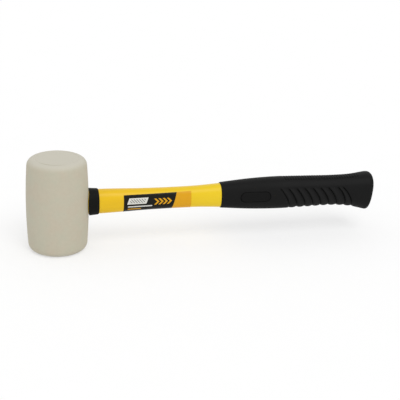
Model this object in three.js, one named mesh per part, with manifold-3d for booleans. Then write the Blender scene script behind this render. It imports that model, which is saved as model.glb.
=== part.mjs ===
import * as THREE from "three";
import { mergeVertices } from "three/addons/utils/BufferGeometryUtils.js";
import Module from "manifold-3d";

// A rubber mallet in millimetres, +Z up. It stands on its lower striking face, with the origin at
// that face's centre and the handle along +X.

// Head: a barrel of white rubber with a blind oval eye for the handle.
const headHeight = 92;
const headBelly = 60; // diameter half way up
const headBulge = 1.4; // radius gained from the rim to the belly
const headEdge = 7; // rounding between the side and a striking face
const ringInset = 0.5; // flat left between the edge's rounding and the moulding ring of a striking face
const ringWidth = 1.2;
const ringDepth = 0.3;
const eyeWall = 9; // rubber left beyond the eye's blind end

// Fits
const slip = 0.3; // clearance between nested pieces
const bondThickness = 0.5; // adhesive between the tang and the eye
const bondRecess = 4; // adhesive held back from the belly at the eye's mouth

// Handle sections are ovals about the handle axis: heights along Z, depths along Y, half sizes.
const ovalPower = 2.3; // 2 is an ellipse, more is squarer
const coreDiameter = 10;
const coreCover = 5; // jacket closing over the core at the butt
const jacketEdge = 3; // rounding of the jacket's hidden end
const tangHeight = 10.4;
const tangDepth = 8.2;
const neckHeight = 12;
const neckDepth = 9.4;
const shoulderRun = 3; // the neck keeps its section this far past the collar
const waistHeight = 10.6;
const waistDepth = 8.5;
const flareRun = 23; // the flare into the grip starts this far ahead of it
const flareHeight = 10.75;
const flareDepth = 8.65;
const mouthHeight = 12; // jacket where it meets the grip
const mouthDepth = 9.5;
const shaftLength = 121.4; // bare jacket between the collar and the grip

// Collar
const collarLength = 9.2;
const collarHeight = 13.4;
const collarDepth = 11.4;
const collarTaper = 0.7; // half size lost towards the grip
const collarSaddle = 0.9; // the head end reaches this much further at its sides, to follow the barrel
const collarHeadEdge = 0.5;
const collarShaftEdge = 1.2;

// Grip outline: run along the axis, then half sizes up, down and to each side.
const gripLength = 159.3;
const gripMouth = { run: 0, up: 12.9, down: 12.75, side: 10.2 };
const gripRise = { run: 32, up: 15.3, down: 15.5, side: 12.1 };
const gripBelly = { run: 59, up: 16.05, down: 16.6, side: 12.8 };
const gripNeck = { run: 39, up: 14.6, down: 16.4, side: 12.5 }; // these three are run back from the butt
const gripSwell = { run: 20.5, up: 14.95, down: 18.6, side: 13.2 };
const gripRim = { run: 5.6, up: 16.65, down: 22.5, side: 15 };
const gripWall = 2.6;
const gripLip = 0.6; // rounding of the mouth
const buttWall = 14; // rubber behind the end of the jacket
const buttTilt = 5; // degrees the end face leans out at the top
const buttFullTop = 5; // squareness of the end rounding at the top
const buttFullBottom = 4;

// Finger ridges: scallops that run under the grip and sweep back towards the head on both sides.
const ridgeCount = 8;
const ridgePitch = 8.45;
const ridgeDepth = 1.15;
const ridgeSweep = 11.4; // how far a groove's upper end lies ahead of its lower end
const ridgeTopFirst = 0.33; // height where the first groove dies out, as a share of the half height
const ridgeTopLast = 0.58; // the last groove climbs higher
const ridgeFade = 0.85; // share of a groove's climb at full depth
const ridgeInset = 19.8; // last groove to the butt
const ridgeEase = 0.75; // pitches past the first groove where the full depth is reached
const ridgeLead = 42; // length over which the sweep builds up

// Thumb ribs along the top of the grip
const ribCount = 29;
const ribPitch = 2.75;
const ribGap = 1.3;
const ribDepth = 0.4;
const ribSpan = 12;
const ribInset = 16; // last gap to the butt

// Bare oval pad on the near side of the grip, set off by an engraved line
const padRun = 34.6; // centre, from the mouth
const padLength = 31.6;
const padHeight = 11.4;
const padLine = 1;
const padDepth = 0.5;

// Sticker wrapped round the near side of the shaft
const labelRun = 23.8; // from the collar
const labelLength = 67;
const labelGap = 0.15;
const labelThickness = 0.2;
const labelTopHead = 38; // degrees up from the near side at the head end
const labelTopGrip = 47; // and at the grip end, because it is stuck on at a slant
const labelUnder = 8; // degrees past the underside

// Facets
const headSides = 40;
const ovalSides = 36;
const ridgeSteps = [0, 0.15, 0.5, 0.85];
const domeSteps = [0.97, 0.92, 0.84, 0.72, 0.5, 0.25];

const axisHeight = headHeight / 2;
const headRadius = headBelly / 2;
const eyeEnd = eyeWall - headRadius;
const tangEnd = eyeEnd + bondThickness + 2 * slip;
const collarStart = headRadius + slip;
const collarEnd = collarStart + collarLength;
const gripStart = collarEnd + shaftLength;
const gripEnd = gripStart + gripLength;
const rimX = gripEnd - gripRim.run;
const jacketEnd = gripEnd - buttWall;
const lastGroove = gripEnd - ridgeInset;
const firstGroove = lastGroove - ridgeCount * ridgePitch;

const { clamp, degToRad, inverseLerp, lerp, smoothstep } = THREE.MathUtils;
const wasm = await Module();
wasm.setup();

function solid(geometry) {
  const bare = new THREE.BufferGeometry();
  bare.setAttribute("position", geometry.getAttribute("position"));
  bare.setIndex(geometry.getIndex());
  const welded = mergeVertices(bare, 1e-3);
  const corners = welded.getIndex().array;
  const faces = [];
  for (let i = 0; i < corners.length; i += 3) {
    const [a, b, c] = corners.subarray(i, i + 3);
    if (a !== b && b !== c && c !== a) {
      faces.push(a, b, c);
    }
  }
  const mesh = new wasm.Mesh({
    numProp: 3,
    vertProperties: welded.getAttribute("position").array,
    triVerts: new Uint32Array(faces),
  });
  return new wasm.Manifold(mesh);
}

function surface(body) {
  const mesh = body.getMesh();
  const geometry = new THREE.BufferGeometry();
  geometry.setAttribute("position", new THREE.BufferAttribute(mesh.vertProperties, 3));
  geometry.setIndex(new THREE.BufferAttribute(mesh.triVerts, 1));
  return geometry;
}

function steps(from, to, count) {
  return Array.from({ length: count + 1 }, (_, i) => lerp(from, to, i / count));
}

// Signed power: turns a sine or cosine into the coordinate of a squarer oval.
function squared(value) {
  return Math.sign(value) * Math.abs(value) ** (2 / ovalPower);
}

const angles = Array.from({ length: ovalSides }, (_, i) => (i / ovalSides) * 2 * Math.PI);

function ovalPoint(x, angle, { up, down, side }) {
  const rise = squared(Math.sin(angle));
  return new THREE.Vector3(x, side * squared(Math.cos(angle)), rise * (rise > 0 ? up : down));
}

function grown({ up, down, side }, by) {
  return { up: up + by, down: down + by, side: side + by };
}

function oval(x, section, by = 0, turn = 0) {
  return angles.map((angle) => ovalPoint(x, angle + turn, grown(section, by)));
}

// Smooth section along the handle through stops placed at their x, running straight out at both ends.
function outline(stops) {
  const places = stops.map((stop) => stop.x);
  const sizes = stops.flatMap((stop) => [stop.up, stop.down, stop.side]);
  const curve = new THREE.CubicInterpolant(places, sizes, 3);
  return (x) => {
    const [up, down, side] = curve.evaluate(x);
    return { up, down, side };
  };
}

// Walls between neighbouring rings: a loop of rings makes a sleeve, a row is closed by a fan at each end.
function skin(rings, looped = false) {
  const size = rings[0].length;
  const points = rings.flat();
  const faces = [];
  const walls = looped ? rings.length : rings.length - 1;
  for (let r = 0; r < walls; r += 1) {
    const next = (r + 1) % rings.length;
    for (let i = 0; i < size; i += 1) {
      const j = (i + 1) % size;
      faces.push(r * size + i, r * size + j, next * size + j);
      faces.push(r * size + i, next * size + j, next * size + i);
    }
  }
  if (!looped) {
    const far = (rings.length - 1) * size;
    const ends = [rings[0], rings[rings.length - 1]];
    for (const ring of ends) {
      const centre = new THREE.Vector3();
      ring.forEach((point) => centre.addScaledVector(point, 1 / size));
      points.push(centre);
    }
    for (let i = 0; i < size; i += 1) {
      const j = (i + 1) % size;
      faces.push(points.length - 2, j, i);
      faces.push(points.length - 1, far + i, far + j);
    }
  }
  const geometry = new THREE.BufferGeometry().setFromPoints(points);
  geometry.setIndex(faces);
  return geometry;
}

const even = (height, depth) => ({ up: height, down: height, side: depth });
const middle = (a, b) => (a + b) / 2;

// Straight taper of the tang through the eye.
function tangAt(x) {
  const share = (x - tangEnd) / (collarStart - tangEnd);
  return even(lerp(tangHeight, neckHeight, share), lerp(tangDepth, neckDepth, share));
}

const shoulderX = collarEnd + shoulderRun;
const flareX = gripStart - flareRun;
const jacketAt = outline([
  { x: collarStart, ...even(neckHeight, neckDepth) },
  { x: shoulderX, ...even(neckHeight, neckDepth) },
  { x: middle(shoulderX, flareX), ...even(waistHeight, waistDepth) },
  { x: flareX, ...even(flareHeight, flareDepth) },
  { x: gripStart, ...even(mouthHeight, mouthDepth) },
]);

const bellyX = gripStart + gripBelly.run;
const neckX = gripEnd - gripNeck.run;
const gripAt = outline([
  { ...gripMouth, x: gripStart + gripMouth.run },
  { ...gripRise, x: gripStart + gripRise.run },
  { ...gripBelly, x: bellyX },
  {
    x: middle(bellyX, neckX),
    up: middle(gripBelly.up, gripNeck.up),
    down: middle(gripBelly.down, gripNeck.down),
    side: middle(gripBelly.side, gripNeck.side),
  },
  { ...gripNeck, x: neckX },
  { ...gripSwell, x: gripEnd - gripSwell.run },
  { ...gripRim, x: rimX },
]);

function makeHead() {
  const lean = Math.atan((2 * headBulge) / (axisHeight - headEdge));
  const rim = headRadius - headBulge;
  const edgeCentre = rim - headEdge * Math.cos(lean);
  const rimZ = headEdge * (1 - Math.sin(lean));
  const half = ringWidth / 2;
  const ringRadius = edgeCentre - ringInset - half;
  const profile = new THREE.Path();
  profile.moveTo(0, 0);
  profile.lineTo(ringRadius - half, 0);
  profile.lineTo(ringRadius, ringDepth);
  profile.lineTo(ringRadius + half, 0);
  profile.lineTo(edgeCentre, 0);
  profile.absarc(edgeCentre, headEdge, headEdge, -Math.PI / 2, -lean, false);
  profile.quadraticCurveTo(headRadius + headBulge, axisHeight, rim, headHeight - rimZ);
  profile.absarc(edgeCentre, headHeight - headEdge, headEdge, lean, Math.PI / 2, false);
  profile.lineTo(ringRadius + half, headHeight);
  profile.lineTo(ringRadius, headHeight - ringDepth);
  profile.lineTo(ringRadius - half, headHeight);
  profile.lineTo(0, headHeight);
  const barrel = new THREE.LatheGeometry(profile.getPoints(6), headSides);
  barrel.rotateX(Math.PI / 2);
  const play = bondThickness + 2 * slip;
  const eye = skin([eyeEnd, headBelly].map((x) => oval(x, tangAt(x), play)));
  eye.translate(0, 0, axisHeight);
  return surface(solid(barrel).subtract(solid(eye)));
}

// A cup round the tang, open at the eye's mouth.
function makeBond() {
  const open = headRadius - bondRecess;
  const outer = [eyeEnd + slip, open].map((x) => oval(x, tangAt(x), slip + bondThickness));
  const inner = [open, tangEnd - slip].map((x) => oval(x, tangAt(x), slip));
  return skin([...outer, ...inner]);
}

function makeCore() {
  const length = jacketEnd - coreCover - tangEnd;
  const rod = new THREE.CylinderGeometry(coreDiameter / 2, coreDiameter / 2, length, ovalSides);
  rod.rotateZ(-Math.PI / 2);
  rod.translate(tangEnd + length / 2, 0, 0);
  return surface(solid(rod));
}

function makeJacket() {
  const boreRadius = coreDiameter / 2 + slip;
  const circle = (x) => angles.map(
    (angle) => new THREE.Vector3(x, boreRadius * Math.cos(angle), boreRadius * Math.sin(angle)),
  );
  const boreEnd = jacketEnd - coreCover + slip;
  const outerXs = [...steps(collarStart, shoulderX, 2), ...steps(shoulderX, gripStart, 11).slice(1)];
  const hiddenXs = steps(gripStart, jacketEnd - jacketEdge, 7);
  const inset = -gripWall - slip;
  return skin([
    circle(boreEnd),
    circle(tangEnd),
    oval(tangEnd, tangAt(tangEnd)),
    ...outerXs.map((x) => oval(x, jacketAt(x))),
    ...hiddenXs.map((x) => oval(x, gripAt(x), inset)),
    oval(jacketEnd, gripAt(jacketEnd - jacketEdge), inset - jacketEdge),
  ]);
}

function makeCollar() {
  const halfFacet = Math.PI / ovalSides; // staggers the collar's facets against the jacket's
  const full = (x) => {
    const lost = (collarTaper * (x - collarStart)) / collarLength;
    return even(collarHeight - lost, collarDepth - lost);
  };
  const rounded = (end, radius, inward, turn) => {
    const x = end + inward * radius * (1 - Math.sin(turn));
    return oval(x, full(x), -radius * (1 - Math.cos(turn)), halfFacet);
  };
  const saddled = (ring) => {
    ring.forEach((point) => point.x -= collarSaddle * (point.y / collarDepth) ** 2);
    return ring;
  };
  const turns = [0, 30, 60, 90].map(degToRad);
  const sleeve = skin([
    oval(collarEnd, jacketAt(collarEnd), slip, halfFacet),
    saddled(oval(collarStart, jacketAt(collarStart), slip, halfFacet)),
    ...turns.toReversed().map((turn) => saddled(rounded(collarStart, collarHeadEdge, 1, turn))),
    ...turns.map((turn) => rounded(collarEnd, collarShaftEdge, -1, turn)),
  ], true);
  return surface(solid(sleeve));
}

// Depth of the scallops at a point along the row: 1 in a groove, 0 on a crest and beyond the row.
function scallop(along) {
  const place = (along - firstGroove) / ridgePitch;
  if (place < -0.5 || place > ridgeCount + 0.5) {
    return 0;
  }
  return (2 * (place - Math.floor(place)) - 1) ** 2 * smoothstep(place, -0.5, ridgeEase);
}

// One ring of the grip's outside. Its upper part is swept forward, so rings follow the grooves.
function gripRing(along) {
  const build = smoothstep(along, firstGroove - ridgeLead, firstGroove);
  const swept = build * (1 - smoothstep(along, lastGroove, rimX));
  const place = clamp(inverseLerp(firstGroove, lastGroove, along), 0, 1);
  const top = lerp(ridgeTopFirst, ridgeTopLast, place);
  return angles.map((angle) => {
    const climb = clamp((squared(Math.sin(angle)) + 1) / (1 + top), 0, 1);
    const x = along - ridgeSweep * climb * climb * swept;
    const cut = ridgeDepth * scallop(along) * (1 - smoothstep(climb, ridgeFade, 1));
    return ovalPoint(x, angle, grown(gripAt(x), -cut));
  });
}

// Rings that close the butt with a rounded end, leaning out at the top.
function buttRings() {
  const rim = gripRing(rimX);
  const slope = Math.tan(degToRad(buttTilt));
  return domeSteps.map((share) => rim.map((point, i) => {
    const full = lerp(buttFullBottom, buttFullTop, (Math.sin(angles[i]) + 1) / 2);
    const reach = (1 - share ** full) ** (1 / full);
    const endX = gripEnd + slope * point.z * share;
    return new THREE.Vector3(lerp(rimX, endX, reach), point.y * share, point.z * share);
  }));
}

// A body inside the grip's outline, at a set depth below it: the floor of what is cut into the grip.
function gripFloor(from, to, count, depth) {
  return solid(skin(steps(from, to, count).map((x) => oval(x, gripAt(x), -depth))));
}

function makePadLine() {
  const straight = (padLength - padHeight) / 2;
  const stadium = (radius) => {
    const shape = new THREE.Shape();
    shape.absarc(straight, 0, radius, -Math.PI / 2, Math.PI / 2, false);
    shape.absarc(-straight, 0, radius, Math.PI / 2, (3 * Math.PI) / 2, false);
    return shape;
  };
  const ring = stadium(padHeight / 2);
  ring.holes.push(stadium(padHeight / 2 - padLine));
  const plate = { depth: gripBelly.side * 2, bevelEnabled: false, curveSegments: 6 };
  const outlineRing = new THREE.ExtrudeGeometry(ring, plate);
  outlineRing.rotateX(Math.PI / 2);
  const centre = gripStart + padRun;
  outlineRing.translate(centre, 0, 0);
  const floor = gripFloor(centre - padLength, centre + padLength, 4, padDepth);
  return solid(outlineRing).subtract(floor);
}

// Everything to be cut out between the thumb ribs: slots across the top, down to a set depth.
function makeRibGaps() {
  const lastGap = gripEnd - ribInset;
  const firstGap = lastGap - (ribCount - 1) * ribPitch;
  const tall = gripBelly.up * 2;
  const slots = steps(firstGap, lastGap, ribCount - 1).map((x) => {
    const slot = new THREE.BoxGeometry(ribGap, ribSpan, tall);
    slot.translate(x, 0, tall / 2);
    return solid(slot);
  });
  const floor = gripFloor(firstGap - ribPitch, lastGap + ribPitch, 18, ribDepth);
  return slots.reduce((all, slot) => all.add(slot)).subtract(floor);
}

function makeGrip() {
  const mouthX = gripStart + slip;
  const inside = steps(jacketEnd + slip, mouthX, 7);
  const ridgeStarts = steps(firstGroove, lastGroove, ridgeCount);
  const grooves = ridgeStarts.flatMap((x) => ridgeSteps.map((step) => x + step * ridgePitch));
  const crestBefore = firstGroove - ridgePitch / 2;
  const crestAfter = lastGroove + ridgePitch / 2;
  const body = skin([
    ...inside.map((x) => oval(x, gripAt(x), -gripWall)),
    oval(mouthX, gripAt(mouthX), -gripLip),
    ...steps(mouthX + gripLip, crestBefore, 10).map(gripRing),
    ...grooves.filter((x) => x < crestAfter - slip).map(gripRing),
    ...steps(crestAfter, rimX, 3).map(gripRing),
    ...buttRings(),
  ]);
  return surface(solid(body).subtract(makePadLine()).subtract(makeRibGaps()));
}

function makeLabel() {
  const start = collarEnd + labelRun;
  const end = start + labelLength;
  const sleeve = (from, to, by) => solid(skin(steps(from, to, 6).map((x) => oval(x, jacketAt(x), by))));
  const outside = sleeve(start, end, labelGap + labelThickness);
  const inside = sleeve(start - slip, end + slip, labelGap);
  const reach = 2 * neckHeight;
  const sector = (x, top) => {
    const arc = steps(degToRad(180 - top), degToRad(270 + labelUnder), 12);
    const spokes = arc.map((a) => new THREE.Vector3(x, reach * Math.cos(a), reach * Math.sin(a)));
    return [new THREE.Vector3(x, 0, 0), ...spokes];
  };
  const wedge = skin([sector(start - slip, labelTopHead), sector(end + slip, labelTopGrip)]);
  return surface(outside.subtract(inside).intersect(solid(wedge)));
}

function piece(name, geometry, color, roughness) {
  const material = new THREE.MeshStandardMaterial({ color, roughness, metalness: 0 });
  const mesh = new THREE.Mesh(geometry, material);
  mesh.name = name;
  return mesh;
}

const handle = new THREE.Group();
handle.position.z = axisHeight;
handle.add(piece("fibreglass_core", makeCore(), 0xcfc08a, 0.5));
handle.add(piece("handle_jacket", makeJacket(), 0xecc429, 0.35));
handle.add(piece("eye_adhesive", makeBond(), 0xb8a070, 0.4));
handle.add(piece("collar", makeCollar(), 0x1f201d, 0.55));
handle.add(piece("grip", makeGrip(), 0x222222, 0.6));
handle.add(piece("label", makeLabel(), 0x1b1b1b, 0.3));

const mallet = new THREE.Group();
mallet.add(piece("head", makeHead(), 0xc8c5b7, 0.7));
mallet.add(handle);

export default mallet;
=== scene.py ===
import math

import bpy
from mathutils import Matrix, Vector


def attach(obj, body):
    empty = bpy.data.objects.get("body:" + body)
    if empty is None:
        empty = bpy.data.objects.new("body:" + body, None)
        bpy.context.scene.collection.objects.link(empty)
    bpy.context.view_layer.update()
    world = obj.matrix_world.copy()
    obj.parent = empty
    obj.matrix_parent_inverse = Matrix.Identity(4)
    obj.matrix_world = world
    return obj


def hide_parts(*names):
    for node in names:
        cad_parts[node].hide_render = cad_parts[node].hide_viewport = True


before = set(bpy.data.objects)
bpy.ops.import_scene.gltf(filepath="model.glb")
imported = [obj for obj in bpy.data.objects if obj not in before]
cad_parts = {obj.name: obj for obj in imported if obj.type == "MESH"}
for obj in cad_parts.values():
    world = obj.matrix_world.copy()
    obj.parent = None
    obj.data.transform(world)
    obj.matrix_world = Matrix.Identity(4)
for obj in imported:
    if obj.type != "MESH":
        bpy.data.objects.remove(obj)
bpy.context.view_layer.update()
print("mallet: packed frame loaded,", len(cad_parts), "solids")

mm = 0.001  # sizes below are in millimetres, the scene is in metres


def toLinear(hexColour):  # sRGB hex to linear RGBA
    parts = [int(hexColour[i:i + 2], 16) / 255 for i in (1, 3, 5)]
    return [c / 12.92 if c <= 0.04045 else ((c + 0.055) / 1.055) ** 2.4 for c in parts] + [1.0]


def wire(tree, node, inputs):  # values and links into a node's sockets
    for key, value in inputs.items():
        if isinstance(value, bpy.types.NodeSocket):
            tree.links.new(value, node.inputs[key])
        else:
            node.inputs[key].default_value = value


def addNode(tree, kind, settings={}, inputs={}):  # a node with its settings, values and links
    node = tree.nodes.new(kind)
    for key, value in settings.items():
        setattr(node, key, value)
    wire(tree, node, inputs)
    return node


sums = ("ShaderNodeMath", "operation")  # what comes in rows, and the setting that each row gives
ramps = ("ShaderNodeMapRange", "interpolation_type")


def addRows(tree, sort, known, rows):  # a node a row: result, setting, then values or earlier results
    kind, setting = sort
    for result, choice, *values in rows:
        inputs = {i: known[v] if isinstance(v, str) else v for i, v in enumerate(values)}
        known[result] = addNode(tree, kind, {setting: choice}, inputs).outputs[0]


def layColours(tree, colour, layers):  # each layer is a share and the colour it brings over those below
    for share, tone in layers:
        colour = addNode(tree, "ShaderNodeMix", {"data_type": "RGBA"},
                         {"Factor": share, "A": colour, "B": tone}).outputs["Result"]
    return colour


def varyRoughness(tree, look, pattern):  # more and less rough with a pattern
    low, high = look["roughness"] - look["roughSpread"], look["roughness"] + look["roughSpread"]
    ramp = addNode(tree, "ShaderNodeMapRange", {}, {"Value": pattern, "To Min": low, "To Max": high})
    return ramp.outputs["Result"]


def dress(tree, shader, look, colour, roughness, relief):  # the shader's sockets, relief as fine bumps
    bump = addNode(tree, "ShaderNodeBump", {},
                   {"Height": relief, "Strength": look["bump"], "Distance": look["bumpHeight"] * mm})
    wire(tree, shader, {
        "Base Color": colour,
        "Roughness": roughness,
        "Normal": bump.outputs["Normal"],
        "IOR": look["ior"],
        "Specular IOR Level": look["specular"],
    })


def startMaterial(name):  # a shader wired to the output, and the place on the object
    material = bpy.data.materials.new(name)
    material.use_nodes = True
    tree = material.node_tree
    tree.nodes.clear()
    shader = addNode(tree, "ShaderNodeBsdfPrincipled")
    addNode(tree, "ShaderNodeOutputMaterial", {}, {"Surface": shader.outputs["BSDF"]})
    return material, tree, shader, addNode(tree, "ShaderNodeTexCoord").outputs["Object"]


def perMetre(sizeMm):  # texture scale for a feature of this many millimetres
    return 1000.0 / sizeMm


def smooth(value, low, high):
    t = min(max((value - low) / (high - low), 0.0), 1.0)
    return t * t * (3 - 2 * t)


def spread(low, high, count):
    return [low + (high - low) * i / count for i in range(count + 1)]


# Shared handle frame: x along the handle from the head's axis, z from the handle axis

handleSizes = {
    "axisHeight": 46.0,
    "ovalPower": 2.3,  # 2 is an ellipse, more is squarer
    "oval": (11.0, 11.0, 8.6),  # up, down and side of a usual section, which spaces the points
    "headRadius": 30.0,
    "collarStart": 30.3,
    "collarEnd": 39.5,
    "gripStart": 160.9,
    "gripEnd": 320.1,
    "eyeEnd": -21.0,
    "tangEnd": -19.9,
    "tangHeight": 10.4,
    "tangDepth": 8.2,
    "neckHeight": 12.0,
    "neckDepth": 9.4,
    "jacketEnd": 306.2,
    "coreEnd": 301.2,
    "coreRadius": 5.0,
    "coreEdge": 0.3,
    "play": 0.03,  # left between pieces that are bonded or moulded together
}


def squarer(value):
    return math.copysign(abs(value) ** (2 / handleSizes["ovalPower"]), value)


def runThrough(stops, x):  # smooth curve through rows of (x, up, down, side)
    if x <= stops[0][0]:
        return stops[0][1:]
    if x >= stops[-1][0]:
        return stops[-1][1:]
    i = next(k for k in range(1, len(stops)) if x < stops[k][0])
    before, after = stops[i - 1], stops[i]
    gap = after[0] - before[0]
    p = (x - before[0]) / gap
    slopes = []
    for k in (i - 1, i):
        if 0 < k < len(stops) - 1:
            left, here, right = stops[k - 1], stops[k], stops[k + 1]
            slopes.append([0.5 * (h - l) / (here[0] - left[0]) + 0.5 * (r - h) / (right[0] - here[0])
                           for l, h, r in zip(left[1:], here[1:], right[1:])])
        else:
            slopes.append([(b - a) / gap for a, b in zip(before[1:], after[1:])])
    h0, h1 = 2 * p ** 3 - 3 * p ** 2 + 1, -2 * p ** 3 + 3 * p ** 2
    m0, m1 = (p ** 3 - 2 * p ** 2 + p) * gap, (p ** 3 - p ** 2) * gap
    return [h0 * a + m0 * s + h1 * b + m1 * t
            for a, s, b, t in zip(before[1:], slopes[0], after[1:], slopes[1])]


def evenAngles(count, up, down, side):  # oval angles with even spacing along the outline
    fine = 3600
    outline = [(side * squarer(math.cos(t)), squarer(math.sin(t)) * (up if math.sin(t) > 0 else down))
               for t in spread(0, 2 * math.pi, fine)]
    runs = [0.0]
    for a, b in zip(outline, outline[1:]):
        runs.append(runs[-1] + math.dist(a, b))
    angles, k = [], 0
    for i in range(count):
        want = runs[-1] * i / count
        while runs[k + 1] < want:
            k += 1
        angles.append(2 * math.pi * (k + (want - runs[k]) / (runs[k + 1] - runs[k])) / fine)
    return angles


def ovalPoint(x, angle, section, grow=0.0):
    up, down, side = section
    rise = squarer(math.sin(angle))
    z = rise * ((up if rise > 0 else down) + grow)
    return (x, (side + grow) * squarer(math.cos(angle)), z)


def ovalRing(x, angles, section, grow=0.0):
    return [ovalPoint(x, angle, section, grow) for angle in angles]


plainAngle = 35  # degrees between faces past which an edge is drawn sharp


def newPiece(name, points, faces, material, sharpAngle=plainAngle):  # points in mm about the handle axis
    mesh = bpy.data.meshes.new(name)
    lift = handleSizes["axisHeight"]
    mesh.from_pydata([(x * mm, y * mm, (z + lift) * mm) for x, y, z in points], [], faces)
    mesh.validate()
    mesh.shade_smooth()
    mesh.set_sharp_from_angle(angle=math.radians(sharpAngle))
    if material:
        mesh.materials.append(material)
    piece = bpy.data.objects.new(name, mesh)
    bpy.context.scene.collection.objects.link(piece)
    return piece


def loft(name, rings, material, looped=False, sharpAngle=plainAngle):  # skin over rings, fans at open ends
    size = len(rings[0])
    points = [p for ring in rings for p in ring]
    faces = []
    for r in range(len(rings) if looped else len(rings) - 1):
        n = (r + 1) % len(rings)
        for i in range(size):
            j = (i + 1) % size
            faces.append((r * size + i, r * size + j, n * size + j, n * size + i))
    if not looped:
        for ring in (rings[0], rings[-1]):
            points.append(tuple(sum(c) / size for c in zip(*ring)))
        far = (len(rings) - 1) * size
        for i in range(size):
            j = (i + 1) % size
            faces.append((len(points) - 2, j, i))
            faces.append((len(points) - 1, far + i, far + j))
    return newPiece(name, points, faces, material, sharpAngle)


def finished(piece):  # plain mesh of a piece with its modifiers applied
    mesh = bpy.data.meshes.new_from_object(piece.evaluated_get(bpy.context.evaluated_depsgraph_get()))
    old = piece.data
    piece.modifiers.clear()
    piece.data = mesh
    bpy.data.meshes.remove(old)
    return mesh


# Moulded white rubber: matt, slightly uneven cream-grey with faint cloudy patches and a few dark specks

whiteRubber = {
    "face": "#c6c2b4",  # painted light: the striking faces are painted paler, as if lit from above
    "warm": "#bcb3a0",
    "cool": "#b9b6a3",
    "pale": "#c1baa8",
    "paleShare": 0.6,
    "speck": "#8d8878",
    "speckShare": 0.35,
    "ringShade": "#aaa490",  # painted shade along the near side of the moulding ring
    "ringShadeSide": (-0.34, -0.94, 0.0),
    "ringShadeFrom": 0.7,  # cosine of the turn from that side where it begins
    "ringShadeLine": 0.1,  # half width of its densest line
    "topLightReach": 5.0,  # how far the painted top light of a striking face fades down the side
    "faceSkin": 1.0,  # depth that counts as the face itself
    "cloud": 14.0,  # width of the cloudy patches
    "cloudRange": (0.35, 0.65),  # part of a pattern's range that shows
    "mottle": 3.0,
    "mottleRange": (0.3, 0.8),
    "grain": 0.9,  # drawn coarser than the real pores so that it shows
    "bump": 0.12,
    "bumpHeight": 0.2,
    "speckSpacing": 7.0,
    "speckRange": (0.05, 0.02),
    "roughness": 0.62,
    "roughSpread": 0.1,
    "ior": 1.52,
    "specular": 0.25,
}


def makeWhiteRubber():
    look = whiteRubber
    material, tree, shader, place = startMaterial("moulded_white_rubber")
    known = {"height": addNode(tree, "ShaderNodeSeparateXYZ", {}, {0: place}).outputs["Z"]}
    for name, detail in (("cloud", 3.0), ("mottle", 2.0), ("grain", 2.0)):
        inputs = {"Vector": place, "Scale": perMetre(look[name]), "Detail": detail}
        known[name] = addNode(tree, "ShaderNodeTexNoise", {}, inputs).outputs["Fac"]
    cells = {"Vector": place, "Scale": perMetre(look["speckSpacing"])}
    known["cell"] = addNode(tree, "ShaderNodeTexVoronoi", {}, cells).outputs["Distance"]
    level = addNode(tree, "ShaderNodeVectorMath", {"operation": "MULTIPLY"},
                    {0: place, 1: (1.0, 1.0, 0.0)}).outputs[0]
    outwards = addNode(tree, "ShaderNodeVectorMath", {"operation": "NORMALIZE"}, {0: level}).outputs[0]
    known["radius"] = addNode(tree, "ShaderNodeVectorMath", {"operation": "LENGTH"},
                              {0: level}).outputs["Value"]
    known["turned"] = addNode(tree, "ShaderNodeVectorMath", {"operation": "DOT_PRODUCT"},
                              {0: outwards, 1: look["ringShadeSide"]}).outputs["Value"]
    middle = handleSizes["axisHeight"] * mm
    addRows(tree, sums, known, [
        ("away", "SUBTRACT", "height", middle),
        ("reach", "ABSOLUTE", "away"),
        ("onTop", "GREATER_THAN", "reach", middle - look["faceSkin"] * mm),
        ("offRing", "SUBTRACT", "radius", headSizes["ring"] / 2 * mm),
        ("fromRing", "ABSOLUTE", "offRing"),
    ])
    addRows(tree, ramps, known, [  # value, its range, its new range
        ("coolness", "LINEAR", "cloud", *look["cloudRange"]),
        ("paleness", "LINEAR", "mottle", *look["mottleRange"], 0.0, look["paleShare"]),
        ("specks", "LINEAR", "cell", *look["speckRange"], 0.0, look["speckShare"]),
        # painted top light: the faces are paler, fading down the side
        ("paintedTopLight", "SMOOTHSTEP", "reach", middle - look["topLightReach"] * mm, middle),
        ("onSide", "SMOOTHSTEP", "turned", look["ringShadeFrom"], 1.0),
        ("inRing", "SMOOTHSTEP", "fromRing", headSizes["ringWidth"] / 2 * mm, look["ringShadeLine"] * mm),
    ])
    # painted shade: the ring line is darkened on its near side
    addRows(tree, sums, known, [
        ("shadeInRing", "MULTIPLY", "onSide", "inRing"),
        ("ringShadeShare", "MULTIPLY", "shadeInRing", "onTop"),
    ])
    tones = {"coolness": "cool", "paleness": "pale", "paintedTopLight": "face", "specks": "speck", "ringShadeShare": "ringShade"}
    layers = [(known[share], toLinear(look[tone])) for share, tone in tones.items()]
    colour = layColours(tree, toLinear(look["warm"]), layers)
    dress(tree, shader, look, colour, varyRoughness(tree, look, known["mottle"]), known["grain"])
    return material


# Head: barrel turned about z, with a blind oval eye from the handle's side

headSizes = {
    "height": 92.0,
    "bulge": 1.4,
    "edge": 7.0,
    "ring": 41.0,
    "ringWidth": 1.6,
    "ringDepth": 0.3,
    "eyePlay": 1.0,
    "cutEnd": 45.0,  # the eye's cutter ends outside the head
    "faceCentre": 3.0,  # radius of the flat disc in the middle of a face
    "sides": 180,
    "eyeSides": 120,
    "faceSteps": 5,  # steps of the profile: inside the ring, over it, up to the edge, round it, up the side
    "ringSteps": 8,
    "rimSteps": 3,
    "edgeSteps": 14,
    "sideSteps": 44,
    "sharpAngle": 50,
}


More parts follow.
